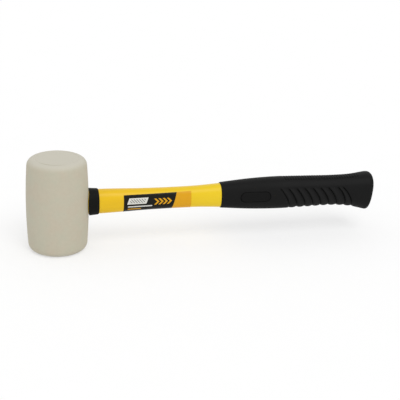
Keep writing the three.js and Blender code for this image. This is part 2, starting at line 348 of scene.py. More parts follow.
def headProfile():  # radius and height from the lower face's centre to the upper one's
    s = headSizes
    half = s["height"] / 2
    lean = math.atan(2 * s["bulge"] / (half - s["edge"]))
    rim = handleSizes["headRadius"] - s["bulge"]
    centre = rim - s["edge"] * math.cos(lean)
    rimZ = s["edge"] * (1 - math.sin(lean))
    ring, width = s["ring"] / 2, s["ringWidth"] / 2
    lower = [(r, 0.0) for r in spread(s["faceCentre"], ring - width, s["faceSteps"])]
    for t in spread(-1, 1, s["ringSteps"])[1:-1]:
        lower.append((ring + t * width, s["ringDepth"] * (0.5 + 0.5 * math.cos(math.pi * t))))
    lower += [(r, 0.0) for r in spread(ring + width, centre, s["rimSteps"])]
    for t in spread(-math.pi / 2, -lean, s["edgeSteps"])[1:]:
        lower.append((centre + s["edge"] * math.cos(t), s["edge"] + s["edge"] * math.sin(t)))
    side = []
    for t in spread(0, 1, s["sideSteps"])[1:-1]:
        z = rimZ + t * (s["height"] - 2 * rimZ)
        side.append((handleSizes["headRadius"] - s["bulge"] * (2 * t - 1) ** 2, z))
    return lower + side + [(r, s["height"] - z) for r, z in reversed(lower)]


def tangAt(x):
    s = handleSizes
    share = (x - s["tangEnd"]) / (s["collarStart"] - s["tangEnd"])
    height = s["tangHeight"] + (s["neckHeight"] - s["tangHeight"]) * share
    return height, height, s["tangDepth"] + (s["neckDepth"] - s["tangDepth"]) * share


def makeHead(material):
    sides = headSizes["sides"]
    lift = handleSizes["axisHeight"]
    turns = [2 * math.pi * i / sides for i in range(sides)]
    profile = headProfile()
    points = [(r * math.cos(t), r * math.sin(t), z - lift) for r, z in profile for t in turns]
    faces = []
    for row in range(len(profile) - 1):
        for i in range(sides):
            j = (i + 1) % sides
            faces.append((row * sides + i, row * sides + j, (row + 1) * sides + j, (row + 1) * sides + i))
    faces.append(tuple(reversed(range(sides))))
    faces.append(tuple(range((len(profile) - 1) * sides, len(profile) * sides)))
    head = newPiece("head_rubber", points, faces, material, headSizes["sharpAngle"])
    angles = evenAngles(headSizes["eyeSides"], *handleSizes["oval"])
    ends = (handleSizes["eyeEnd"], headSizes["cutEnd"])
    eye = loft("eye_cutter", [ovalRing(x, angles, tangAt(x), headSizes["eyePlay"]) for x in ends], None)
    cut = head.modifiers.new("eye", "BOOLEAN")
    cut.operation = "DIFFERENCE"
    cut.solver = "EXACT"
    cut.object = eye
    mesh = finished(head)
    mesh.shade_smooth()
    mesh.set_sharp_from_angle(angle=math.radians(headSizes["sharpAngle"]))
    bpy.data.meshes.remove(eye.data)
    return head


# Injection moulded polypropylene: clear warm yellow, satin gloss, faint flow unevenness

yellowJacket = {
    "body": "#e8bd0e",
    "deep": "#e3b70c",
    "lemon": "#e8c61a",  # towards the grip
    "lemonFrom": 70.0,
    "lemonTo": 150.0,
    "flow": 22.0,  # length of the faint flow marks
    "flowFine": 3.0,  # how many times thinner they are
    "flowDraw": (0.25, 1.0, 1.0),  # stretched along the shaft
    "flowRange": (0.35, 0.7),
    "peel": 1.6,  # drawn coarser than the real skin so that it shows
    "bump": 0.05,
    "bumpHeight": 0.1,
    "roughness": 0.36,
    "roughSpread": 0.08,
    "ior": 1.49,
    "specular": 0.3,
}


def makeYellowPolypropylene():
    look = yellowJacket
    material, tree, shader, place = startMaterial("moulded_yellow_polypropylene")
    drawn = addNode(tree, "ShaderNodeMapping", {}, {"Vector": place, "Scale": look["flowDraw"]})
    known = {"along": addNode(tree, "ShaderNodeSeparateXYZ", {}, {0: place}).outputs["X"]}
    flow = {"Vector": drawn.outputs[0], "Scale": perMetre(look["flow"]) * look["flowFine"], "Detail": 3.0}
    known["flow"] = addNode(tree, "ShaderNodeTexNoise", {}, flow).outputs["Fac"]
    peel = {"Vector": place, "Scale": perMetre(look["peel"]), "Detail": 2.0}
    known["peel"] = addNode(tree, "ShaderNodeTexNoise", {}, peel).outputs["Fac"]
    addRows(tree, ramps, known, [
        ("depth", "LINEAR", "flow", *look["flowRange"]),
        ("drift", "LINEAR", "along", look["lemonFrom"] * mm, look["lemonTo"] * mm),
    ])
    layers = [(known["depth"], toLinear(look["deep"])), (known["drift"], toLinear(look["lemon"]))]
    colour = layColours(tree, toLinear(look["body"]), layers)
    dress(tree, shader, look, colour, varyRoughness(tree, look, known["flow"]), known["peel"])
    return material


# Jacket: tang in the eye, neck, waist, flare, then the thinner length under the grip

jacketStops = [  # x, up, down, side
    (handleSizes["collarStart"], 12.0, 12.0, 9.4),
    (42.5, 12.0, 12.0, 9.4),
    (90.2, 10.6, 10.6, 8.5),
    (137.9, 10.75, 10.75, 8.65),
    (handleSizes["gripStart"], 12.0, 12.0, 9.5),
]
jacketSizes = {
    "sides": 144,
    "boreEnd": 0.1,  # room past the core's end
    "tangEdge": ((0.0, -0.5), (0.15, -0.15), (0.5, 0.0)),  # rounding of the tang's end: along, in
    "tangFrom": -18.0,  # straight length of the tang
    "tangTo": 29.5,
    "under": 2.9,  # what the length under the grip lacks from the grip's outside
    "endEdge": 3.0,
    "tangSteps": 12,
    "shaftSteps": 110,
    "underSteps": 24,
}


def jacketAt(x):
    return runThrough(jacketStops, x)


def makeJacket(material):
    s, h = jacketSizes, handleSizes
    angles = evenAngles(s["sides"], *h["oval"])
    bore = h["coreRadius"] + h["play"]
    edgeStart = h["jacketEnd"] - s["endEdge"]
    rings = [[(x, bore * math.cos(a), bore * math.sin(a)) for a in angles]
             for x in (h["coreEnd"] + s["boreEnd"], h["tangEnd"])]
    for along, inwards in s["tangEdge"]:
        rings.append(ovalRing(h["tangEnd"] + along, angles, tangAt(h["tangEnd"]), inwards))
    tang = spread(s["tangFrom"], s["tangTo"], s["tangSteps"])
    shaft = spread(h["collarStart"], h["gripStart"], s["shaftSteps"])
    under = spread(h["gripStart"], edgeStart, s["underSteps"])
    rings += [ovalRing(x, angles, tangAt(x)) for x in tang]
    rings += [ovalRing(x, angles, jacketAt(x)) for x in shaft]
    rings += [ovalRing(x, angles, gripAt(x), -s["under"]) for x in under]
    rings.append(ovalRing(h["jacketEnd"], angles, gripAt(edgeStart), -s["under"] - s["endEdge"]))
    return loft("shaft_jacket", rings, material)


# Pultruded glass fibre: straw yellow resin, the cut end peppered with fibre ends

fibreRod = {
    "resin": "#cdbd86",
    "fibre": "#a8935c",
    "fibreShare": 0.8,
    "bundle": 0.5,
    "bundleRange": (0.2, 0.7),
    "bump": 0.2,
    "bumpHeight": 0.1,
    "draw": (0.02, 1.0, 1.0),  # the fibres run along the rod
    "roughness": 0.5,
    "ior": 1.54,
    "specular": 0.5,
    "sides": 96,
}


def makeFibreglass():
    look = fibreRod
    material, tree, shader, place = startMaterial("pultruded_fibreglass")
    drawn = addNode(tree, "ShaderNodeMapping", {}, {"Vector": place, "Scale": look["draw"]})
    cells = {"Vector": drawn.outputs[0], "Scale": perMetre(look["bundle"])}
    bundles = addNode(tree, "ShaderNodeTexVoronoi", {}, cells).outputs["Distance"]
    low, high = look["bundleRange"]
    ends = addNode(tree, "ShaderNodeMapRange", {},
                   {"Value": bundles, "From Min": low, "From Max": high, "To Max": look["fibreShare"]})
    colour = layColours(tree, toLinear(look["resin"]), [(ends.outputs["Result"], toLinear(look["fibre"]))])
    dress(tree, shader, look, colour, look["roughness"], bundles)
    return material


def makeCore(material):
    s = handleSizes
    start, end, radius, edge = s["tangEnd"], s["coreEnd"], s["coreRadius"], s["coreEdge"]
    angles = [2 * math.pi * i / fibreRod["sides"] for i in range(fibreRod["sides"])]
    shape = [(start, radius - edge), (start + edge, radius), (end - edge, radius), (end, radius - edge)]
    rings = [[(x, r * math.cos(a), r * math.sin(a)) for a in angles] for x, r in shape]
    return loft("core_rod", rings, material)


# Cured epoxy: dull amber with small bubbles

eyeEpoxy = {
    "amber": "#b79a62",
    "milky": "#cbb88c",
    "bubble": 1.2,
    "bump": 0.2,
    "bumpHeight": 0.2,
    "roughness": 0.4,
    "ior": 1.55,
    "specular": 0.5,
    "start": -20.9,
    "end": 27.0,
    "meniscus": 0.3,  # depth of the hollow at the eye's mouth
    "meniscusLine": 0.5,  # its deepest line, from the tang
    "steps": 8,
}


def makeEpoxyLook():
    look = eyeEpoxy
    material, tree, shader, place = startMaterial("cured_epoxy")
    bubbles = {"Vector": place, "Scale": perMetre(look["bubble"]), "Detail": 3.0}
    milk = addNode(tree, "ShaderNodeTexNoise", {}, bubbles).outputs["Fac"]
    colour = layColours(tree, toLinear(look["amber"]), [(milk, toLinear(look["milky"]))])
    dress(tree, shader, look, colour, look["roughness"], milk)
    return material


def makeEpoxy(material):
    s, play = eyeEpoxy, handleSizes["play"]
    angles = evenAngles(headSizes["eyeSides"], *handleSizes["oval"])
    outside = spread(s["start"], s["end"], s["steps"])
    inside = spread(handleSizes["tangEnd"] - play, s["end"], s["steps"])
    rings = [ovalRing(x, angles, tangAt(x), headSizes["eyePlay"] - play) for x in outside]
    rings.append(ovalRing(s["end"] - s["meniscus"], angles, tangAt(s["end"]), s["meniscusLine"]))
    rings += [ovalRing(x, angles, tangAt(x), play) for x in reversed(inside)]
    return loft("eye_epoxy", rings, material)


# Moulded black rubber collar: satin, near black with a faint green cast

collarLook = {
    "body": "#090a07",
    "rubbedAndLit": "#121310",
    "patch": 6.0,
    "grain": 0.8,
    "bump": 0.15,
    "bumpHeight": 0.15,
    "roughness": 0.6,
    "roughSpread": 0.1,
    "ior": 1.52,
    "specular": 0.1,
}
collarSizes = {
    "height": 13.4,
    "depth": 11.4,
    "taper": 0.7,
    "saddle": 1.6,  # extra reach of the head end at its sides
    "headEdge": 0.5,
    "shaftEdge": 1.2,
    "wallStart": 1.2,  # outer wall between its two edges
    "wallEnd": 0.6,
    "slip": 0.05,
    "sides": 144,
    "oval": (13.0, 13.0, 10.8),
    "boreSteps": 10,
    "headEdgeSteps": 6,
    "wallSteps": 8,
    "shaftEdgeSteps": 10,
}


def makeCollarRubber():
    look = collarLook
    material, tree, shader, place = startMaterial("moulded_black_rubber")
    known = {}
    for name, detail in (("patch", 3.0), ("grain", 2.0)):
        inputs = {"Vector": place, "Scale": perMetre(look[name]), "Detail": detail}
        known[name] = addNode(tree, "ShaderNodeTexNoise", {}, inputs).outputs["Fac"]
    colour = layColours(tree, toLinear(look["body"]), [(known["patch"], toLinear(look["rubbedAndLit"]))])
    dress(tree, shader, look, colour, varyRoughness(tree, look, known["patch"]), known["grain"])
    return material


def makeCollar(material):
    s = collarSizes
    start, end = handleSizes["collarStart"], handleSizes["collarEnd"]
    angles = evenAngles(s["sides"], *s["oval"])

    def full(x, shrink):
        lost = s["taper"] * (x - start) / (end - start)
        return ovalRing(x, angles, (s["height"] - lost, s["height"] - lost, s["depth"] - lost), -shrink)

    def headwards(x):
        return (end - x) / (end - start)

    def saddled(ring, share):
        return [(x - share * s["saddle"] * (y / s["depth"]) ** 2, y, z) for x, y, z in ring]

    rings = []
    for x in reversed(spread(start, end, s["boreSteps"])):
        rings.append(saddled(ovalRing(x, angles, jacketAt(x), s["slip"]), headwards(x)))
    for t in reversed(spread(0, math.pi / 2, s["headEdgeSteps"])):
        along, inwards = s["headEdge"] * (1 - math.sin(t)), s["headEdge"] * (1 - math.cos(t))
        rings.append(saddled(full(start + along, inwards), 1))
    for x in spread(start + s["wallStart"], end - s["shaftEdge"] - s["wallEnd"], s["wallSteps"]):
        rings.append(saddled(full(x, 0), headwards(x)))
    for t in spread(0, math.pi / 2, s["shaftEdgeSteps"]):
        along, inwards = s["shaftEdge"] * (1 - math.sin(t)), s["shaftEdge"] * (1 - math.cos(t))
        rings.append(full(end - along, inwards))
    return loft("head_collar", rings, material, looped=True)


# Moulded thermoplastic rubber: soft black, very dull, a fine sandy skin

gripLook = {
    "body": "#151515",
    "worn": "#1a1a1a",
    "pad": "#131313",
    "padEdge": "#0a0a0a",  # painted shade in the engraved line round the pad
    "ridgeShade": "#131313",  # painted shade over the ridges, beneath the painted highlight of their crests
    "rubbedAndLit": "#1d1d1d",  # painted highlight on the crests of the ridges and on the flank above them
    "ribRowShade": "#0f0f0f",  # painted shade over the row of ribs, for the shadow in their slots
    "patch": 12.0,
    "skin": 0.7,
    "bump": 0.2,
    "bumpHeight": 0.15,
    "roughness": 0.55,
    "roughSpread": 0.1,
    "ior": 1.5,
    "specular": 0.07,
}


def makeGripRubber():
    look = gripLook
    material, tree, shader, place = startMaterial("moulded_black_thermoplastic_rubber")
    known = {}
    for name, detail in (("patch", 4.0), ("skin", 2.0)):
        inputs = {"Vector": place, "Scale": perMetre(look[name]), "Detail": detail}
        known[name] = addNode(tree, "ShaderNodeTexNoise", {}, inputs).outputs["Fac"]
    # some of these shares are painted shade and painted highlight: the pad's line, the ridges, the flank
    # above them and the row of ribs
    tones = {
        "padShare": "pad",
        "edgeShare": "padEdge",
        "ridgeShadeShare": "ridgeShade",
        "crestHighlightShare": "rubbedAndLit",
        "palmShare": "rubbedAndLit",
        "ribShare": "ribRowShade",
    }
    layers = [(known["patch"], toLinear(look["worn"]))]
    for share, tone in tones.items():  # shares are stored on the sleeve's points
        where = addNode(tree, "ShaderNodeAttribute", {"attribute_name": share}).outputs["Fac"]
        layers.append((where, toLinear(look[tone])))
    colour = layColours(tree, toLinear(look["body"]), layers)
    dress(tree, shader, look, colour, varyRoughness(tree, look, known["patch"]), known["skin"])
    return material


# Grip: one smooth sleeve, then a node tree presses the finger grooves and the ribs of the back into it

gripStops = [  # x, up, down, side
    (handleSizes["gripStart"], 12.9, 12.75, 10.2),
    (192.9, 15.3, 15.5, 12.1),
    (219.9, 16.05, 16.6, 12.8),
    (250.55, 15.325, 16.5, 12.65),
    (281.2, 14.6, 16.4, 12.5),
    (299.7, 14.95, 18.6, 13.2),
    (314.6, 16.65, 22.5, 15.0),  # the rim of the butt
]
gripSizes = {
    "sides": 184,
    "oval": (14.5, 15.8, 12.0),
    "sharpAngle": 60,
    "wall": 2.6,
    "lip": 0.6,
    "mouthGap": 0.3,  # from the shoulder of the jacket
    "floorGap": 0.3,  # from the jacket's end
    "boreSteps": 12,
    "lipSteps": 5,
    "frontRows": (162.5, 176.8, 12),  # rows of points: first, last, steps
    "padRows": (177.2, 217.2, 160),
    "leadRows": (217.9, 227.5, 10),
    "rowsBefore": 14,  # fine rows ahead of the first groove
    "rowsAPitch": 24,
    "backStep": 0.2,  # past the last groove
    "rim": 314.6,
    "buttRows": 26,
    "buttPower": 0.6,  # less gathers the butt's rows at its edge
    "tilt": 5.0,  # degrees the butt leans out at the top
    "fullTop": 5.0,
    "fullBottom": 4.0,
    "ridgeCount": 8,
    "ridgePitch": 8.45,
    "ridgeDepth": 1.15,
    "slitDepth": 0.36,  # sharp line along the bottom of a groove
    "slitShare": 0.11,  # half width of that line, in pitches
    "ridgeSweep": 12.8,
    "ridgeBend": 0.7,  # share of the sweep that bends, the rest is straight
    "lastSweep": 1.5,  # extra sweep of the last groove
    "nextSweep": 2.0,  # what the groove before it lacks
    "ridgeTopFirst": 0.56,  # share of the half height where the first groove dies out
    "ridgeTopLast": 0.52,
    "crestLow": 0.45,  # place of the crest between two grooves, at the underside
    "crestHigh": 0.2,  # and where the grooves die out
    "palmShare": 0.65,  # share of painted highlight on the flank above the grooves
    "flankLightFrom": 200.0,
    "flankLightTo": 230.0,
    "flankLightLow": -0.05,  # fades in from here, seen from where the grooves die out
    "flankLightFull": 0.1,
    "flankLightHigh": 0.78,  # and out towards the back
    "flankLightGone": 0.9,
    "ridgeFade": 0.88,
    "ridgeEase": 0.75,  # pitches past the first groove where the full depth is reached at the underside
    "flankEase": 0.1,  # and on the flank
    "easeLow": 0.1,  # share of the climb where the one turns into the other
    "easeHigh": 0.45,
    "firstGroove": 232.8,
    "ridgeLead": 42.0,
    "ribPitch": 2.75,
    "ribDepth": 0.6,
    "ribSpan": 13.0,
    "ribInside": 0.5,  # how the ribs' ends fade
    "ribOutside": 0.3,
    "ribRunOut": 1.5,
    "ribTop": 0.3,  # from a rib's middle to its edge, in half pitches
    "ribFoot": 0.75,
    "firstRib": 227.2,
    "lastRib": 304.2,
    "padX": 195.5,
    "padLength": 31.6,
    "padHeight": 11.4,
    "padLine": 1.0,
    "padDepth": 0.65,
    "padBottom": 0.7,  # less makes the line's bottom wider
    "padSink": 0.12,
}


def gripAt(x):
    return runThrough(gripStops, x)


def padInside(x, z):  # distance inside the edge of the bare oval pad
    radius = gripSizes["padHeight"] / 2
    over = max(abs(x - gripSizes["padX"]) - (gripSizes["padLength"] / 2 - radius), 0.0)
    return radius - math.hypot(over, z)


def padEdge(inside):  # 1 along the middle of the engraved line
    line = max(1 - abs(inside / gripSizes["padLine"] * 2 - 1), 0.0)
    return smooth(line, 0.0, gripSizes["padBottom"])


def padRise(inside):  # an engraved line sets off the pad, which lies a little lower
    s = gripSizes
    return -s["padSink"] * smooth(inside, 0.0, s["padLine"]) - s["padDepth"] * padEdge(inside)


def makeGrip(material):
    s, h = gripSizes, handleSizes
    angles = evenAngles(s["sides"], *s["oval"])
    lastGroove = s["firstGroove"] + s["ridgeCount"] * s["ridgePitch"]
    mouth = h["gripStart"] + s["mouthGap"]
    rings = []
    names = "along ridgeShare crestShare ridgeEase ribShare padShare edgeShare palmShare"
    stored = {name: [] for name in names.split()}

    def addPlainRing(ring):
        rings.append(ring)
        for values in stored.values():
            values.extend([0.0] * len(ring))

    def addSleeveRing(u):
        swept = smooth(u, s["firstGroove"] - s["ridgeLead"], s["firstGroove"])
        swept *= 1 - smooth(u, lastGroove, s["rim"])
        place = min(max((u - s["firstGroove"]) / (lastGroove - s["firstGroove"]), 0.0), 1.0)
        top = s["ridgeTopFirst"] + (s["ridgeTopLast"] - s["ridgeTopFirst"]) * place
        past = (u - lastGroove) / s["ridgePitch"] + 1  # pitches past the last groove but one
        extra = s["lastSweep"] * min(max(past, 0.0), 1.0) - s["nextSweep"] * max(1 - abs(past), 0.0)
        ring = []
        for angle in angles:
            rise = squarer(math.sin(angle))
            climb = min(max((rise + 1) / (1 + top), 0.0), 1.0)
            bent = climb * (1 - s["ridgeBend"] + s["ridgeBend"] * climb)
            x = u - (s["ridgeSweep"] * bent + extra * climb * (2 - climb)) * swept
            point = ovalPoint(x, angle, gripAt(x))
            inside = padInside(x, point[2]) if point[1] < 0 else -1.0
            if inside > 0:
                point = ovalPoint(x, angle, gripAt(x), padRise(inside))
            ring.append(point)
            eased = smooth(climb, s["easeLow"], s["easeHigh"])
            # painted highlight along the flank above the grooves
            flankLight = s["palmShare"] * smooth(x, s["flankLightFrom"], s["flankLightTo"])
            flankLight *= smooth(rise, top + s["flankLightLow"], top + s["flankLightFull"])
            flankLight *= 1 - smooth(rise, s["flankLightHigh"], s["flankLightGone"])
            half = s["ribSpan"] / 2
            rib = 1 - smooth(abs(point[1]), half - s["ribInside"], half + s["ribOutside"])
            rib *= smooth(x, s["firstRib"] - s["ribRunOut"], s["firstRib"])
            rib *= 1 - smooth(x, s["lastRib"], s["lastRib"] + s["ribRunOut"])
            shares = {
                "along": u,
                "ridgeShare": 1 - smooth(climb, s["ridgeFade"], 1),
                "crestShare": s["crestLow"] + (s["crestHigh"] - s["crestLow"]) * climb,
                "ridgeEase": s["ridgeEase"] + (s["flankEase"] - s["ridgeEase"]) * eased,
                "ribShare": rib if point[2] > 0 else 0.0,
                "padShare": smooth(inside, 0.0, s["padLine"]),
                # painted shade in the engraved line
                "edgeShare": padEdge(inside),
                "palmShare": flankLight,
            }
            for name, value in shares.items():
                stored[name].append(value)
        rings.append(ring)

    for x in spread(h["jacketEnd"] + s["floorGap"], mouth, s["boreSteps"]):
        addPlainRing(ovalRing(x, angles, gripAt(x), -s["wall"]))
    for t in spread(0, math.pi / 2, s["lipSteps"]):
        along, inwards = s["lip"] * (1 - math.cos(t)), s["lip"] * (1 - math.sin(t))
        addPlainRing(ovalRing(mouth + along, angles, gripAt(mouth), -inwards))
    stations = spread(*s["frontRows"]) + spread(*s["padRows"]) + spread(*s["leadRows"])
    step, fine = s["ridgePitch"] / s["rowsAPitch"], s["rowsAPitch"] * s["ridgeCount"]
    stations += [s["firstGroove"] + step * k for k in range(-s["rowsBefore"], fine + 1)]
    behind = int((s["rim"] - lastGroove) / s["backStep"])
    stations += [lastGroove + s["backStep"] * k for k in range(1, behind + 1)]
    for u in stations:
        addSleeveRing(u)
    rim = ovalRing(s["rim"], angles, gripAt(s["rim"]))
    slope = math.tan(math.radians(s["tilt"]))
    for t in spread(0, math.pi / 2, s["buttRows"])[1:-1]:
        share = math.cos(t) ** s["buttPower"]
        ring = []
        for angle, (x, y, z) in zip(angles, rim):
            full = s["fullBottom"] + (s["fullTop"] - s["fullBottom"]) * (math.sin(angle) + 1) / 2
            reach = (1 - share ** full) ** (1 / full)
            ring.append((x + (h["gripEnd"] + slope * z * share - x) * reach, y * share, z * share))
        addPlainRing(ring)
    sleeve = loft("grip_sleeve", rings, material, sharpAngle=s["sharpAngle"])
    spare = len(sleeve.data.vertices) - len(stored["along"])
    for name, values in stored.items():
        layer = sleeve.data.attributes.new(name, "FLOAT", "POINT")
        layer.data.foreach_set("value", values + [0.0] * spare)
    pressRidges(sleeve, material)
    return sleeve


def pressRidges(sleeve, material):  # node tree: scalloped grooves along "along", ribs along x
    tree = bpy.data.node_groups.new("press_ridges", "GeometryNodeTree")
    face = tree.interface
    face.new_socket("Geometry", in_out="OUTPUT", socket_type="NodeSocketGeometry")
    face.new_socket("Geometry", in_out="INPUT", socket_type="NodeSocketGeometry")
    wanted = {
        "First Groove": gripSizes["firstGroove"],
        "Ridge Pitch": gripSizes["ridgePitch"],
        "Ridge Count": float(gripSizes["ridgeCount"]),
        "Ridge Depth": gripSizes["ridgeDepth"] * mm,
        "Slit Depth": gripSizes["slitDepth"] * mm,
        "Slit Share": gripSizes["slitShare"],
        "First Rib": gripSizes["firstRib"] * mm,
        "Rib Pitch": gripSizes["ribPitch"] * mm,
        "Rib Depth": gripSizes["ribDepth"] * mm,
    }
    sockets = {}
    for name in wanted:
        sockets[name] = face.new_socket(name, in_out="INPUT", socket_type="NodeSocketFloat")
    into = addNode(tree, "NodeGroupInput").outputs
    known = {name: into[name] for name in wanted}
    for name in ("along", "ridgeShare", "crestShare", "ridgeEase", "ribShare"):
        known[name] = addNode(tree, "GeometryNodeInputNamedAttribute", {"data_type": "FLOAT"},
                              {"Name": name}).outputs[0]
    position = addNode(tree, "GeometryNodeInputPosition").outputs[0]
    known["x"] = addNode(tree, "ShaderNodeSeparateXYZ", {}, {0: position}).outputs["X"]
    addRows(tree, sums, known, [
        ("past", "SUBTRACT", "along", "First Groove"),
        ("place", "DIVIDE", "past", "Ridge Pitch"),  # pitches from the first groove
        ("phase", "FRACT", "place"),
        ("lean", "LOGARITHM", 0.5, "crestShare"),
        ("leant", "POWER", "phase", "lean"),  # a half at the crest
        ("twice", "MULTIPLY", "leant", 2.0),
        ("offCrest", "SUBTRACT", "twice", 1.0),
        ("cusp", "POWER", "offCrest", 2.0),
        ("started", "GREATER_THAN", "place", -0.5),
        ("rowEnd", "ADD", "Ridge Count", "crestShare"),
        ("going", "LESS_THAN", "place", "rowEnd"),
        ("inRow", "MULTIPLY", "started", "going"),
        ("fromGroove", "PINGPONG", "place", 0.5),
        ("pastRib", "SUBTRACT", "x", "First Rib"),
        ("ribPlace", "DIVIDE", "pastRib", "Rib Pitch"),
        ("ribPhase", "FRACT", "ribPlace"),
        ("ribTwice", "MULTIPLY", "ribPhase", 2.0),
        ("ribSide", "SUBTRACT", "ribTwice", 1.0),
        ("offRib", "ABSOLUTE", "ribSide"),
    ])
    addRows(tree, ramps, known, [  # value, its range, its new range
        ("slit", "SMOOTHSTEP", "fromGroove", 0.0, "Slit Share", 1.0, 0.0),
        ("ease", "SMOOTHSTEP", "place", -0.5, "ridgeEase"),
        ("slot", "SMOOTHSTEP", "offRib", gripSizes["ribTop"], gripSizes["ribFoot"]),
    ])
    addRows(tree, sums, known, [
        ("eased", "MULTIPLY", "cusp", "ease"),
        ("scallop", "MULTIPLY", "eased", "Ridge Depth"),
        ("line", "MULTIPLY", "slit", "Slit Depth"),
        ("deep", "ADD", "scallop", "line"),
        ("deepInRow", "MULTIPLY", "deep", "inRow"),
        ("groove", "MULTIPLY", "deepInRow", "ridgeShare"),
        ("ribDeep", "MULTIPLY", "ribShare", "Rib Depth"),
        ("between", "MULTIPLY", "slot", "ribDeep"),
        ("both", "ADD", "groove", "between"),
        ("sink", "MULTIPLY", "both", -1.0),
        ("pastFirst", "GREATER_THAN", "place", 0.0),
        ("beforeLast", "LESS_THAN", "place", "Ridge Count"),
        ("onRidge", "MULTIPLY", "pastFirst", "beforeLast"),
        # painted shade over the ridges and a painted highlight on their crests, placed by the grooves'
        # shape
        ("ridgeShadeShare", "MULTIPLY", "onRidge", "ridgeShare"),
        ("offGroove", "SUBTRACT", 1.0, "cusp"),
        ("crestLight", "POWER", "offGroove", 2.0),
        ("crestHighlightShare", "MULTIPLY", "ridgeShadeShare", "crestLight"),
    ])
    normal = addNode(tree, "GeometryNodeInputNormal").outputs["Normal"]
    shift = addNode(tree, "ShaderNodeVectorMath", {"operation": "SCALE"},
                    {0: normal, "Scale": known["sink"]})
    pressed = {"Geometry": into["Geometry"], "Offset": shift.outputs[0]}
    geometry = addNode(tree, "GeometryNodeSetPosition", {}, pressed).outputs[0]
    onPoints = {"data_type": "FLOAT", "domain": "POINT"}
    for name in ("ridgeShadeShare", "crestHighlightShare"):  # painted shade and painted highlight on the ridges, for the tones of the rubber
        geometry = addNode(tree, "GeometryNodeStoreNamedAttribute", onPoints,
                           {"Geometry": geometry, "Name": name, "Value": known[name]}).outputs[0]
    real = addNode(tree, "GeometryNodeRealizeInstances", {}, {"Geometry": geometry}).outputs[0]
    dressed = addNode(tree, "GeometryNodeSetMaterial", {}, {"Geometry": real, "Material": material})
    addNode(tree, "NodeGroupOutput", {}, {0: dressed.outputs[0]})
    press = sleeve.modifiers.new("press_ridges", "NODES")
    press.node_group = tree
    for name, socket in sockets.items():
        press[socket.identifier] = wanted[name]
    mesh = finished(sleeve)
    mesh.shade_smooth()
    mesh.set_sharp_from_angle(angle=math.radians(gripSizes["sharpAngle"]))


# Printed film sticker: glossy, black with an orange end, plain rules, chevrons and a hatched panel

stickerSizes = {
    "start": 63.3,
    "length": 67.0,
    "topHead": 38.0,  # degrees up from the near side
    "topGrip": 47.0,
    "under": 8.0,  # degrees past the underside
    "gap": 0.03,
    "thickness": 0.12,
    "stepsAlong": 90,
    "stepsRound": 80,
}
stickerLook = {  # places in millimetres along and down the film
    "black": "#12110d",
    "scuffed": "#2b2a24",
    "scuffShare": 0.3,
    "orange": "#dca21f",
    "amber": "#cd8814",
    "amberShare": 0.2,
    "white": "#d9d8d1",
    "grey": "#7d7d79",
    "ink": 2.0,  # width of the ink's unevenness
    "split": 52.6,  # where the orange end starts, at the top edge
    "splitLean": 0.26,
    "panel": (6.5, 25.5, 3.4, 9.6, 0.35),  # a bar: left, right, top, bottom, lean
    "hatched": (8.4, 23.6, 4.5, 8.5, 0.35),
    "longRule": (4.0, 28.0, 11.6, 12.9, 0.0),
    "shortRule": (4.0, 17.0, 14.6, 15.8, 0.0),
    "hatchLean": -0.9,
    "hatchPitch": 2.6,
    "hatchShare": 0.42,  # what is filled of each pitch
    "chevronStart": 33.0,
    "chevronRun": 16.8,
    "chevronLine": 8.2,  # of their tips
    "chevronReach": 3.2,  # above and below that line
    "chevronPitch": 4.2,
    "chevronShare": 0.5,
    "roughness": 0.2,
    "roughSpread": 0.06,
    "ior": 1.5,
    "specular": 0.12,
}


def barRows(name):  # sums for the mask of a bar that leans
    left, right, top, bottom, lean = stickerLook[name]
    return [
        (name + "Drop", "MULTIPLY", "v", lean),
        (name + "Across", "ADD", "u", name + "Drop"),
        (name + "Wide", "COMPARE", name + "Across", (left + right) / 2, (right - left) / 2),
        (name + "Tall", "COMPARE", "v", (top + bottom) / 2, (bottom - top) / 2),
        (name, "MULTIPLY", name + "Wide", name + "Tall"),
    ]


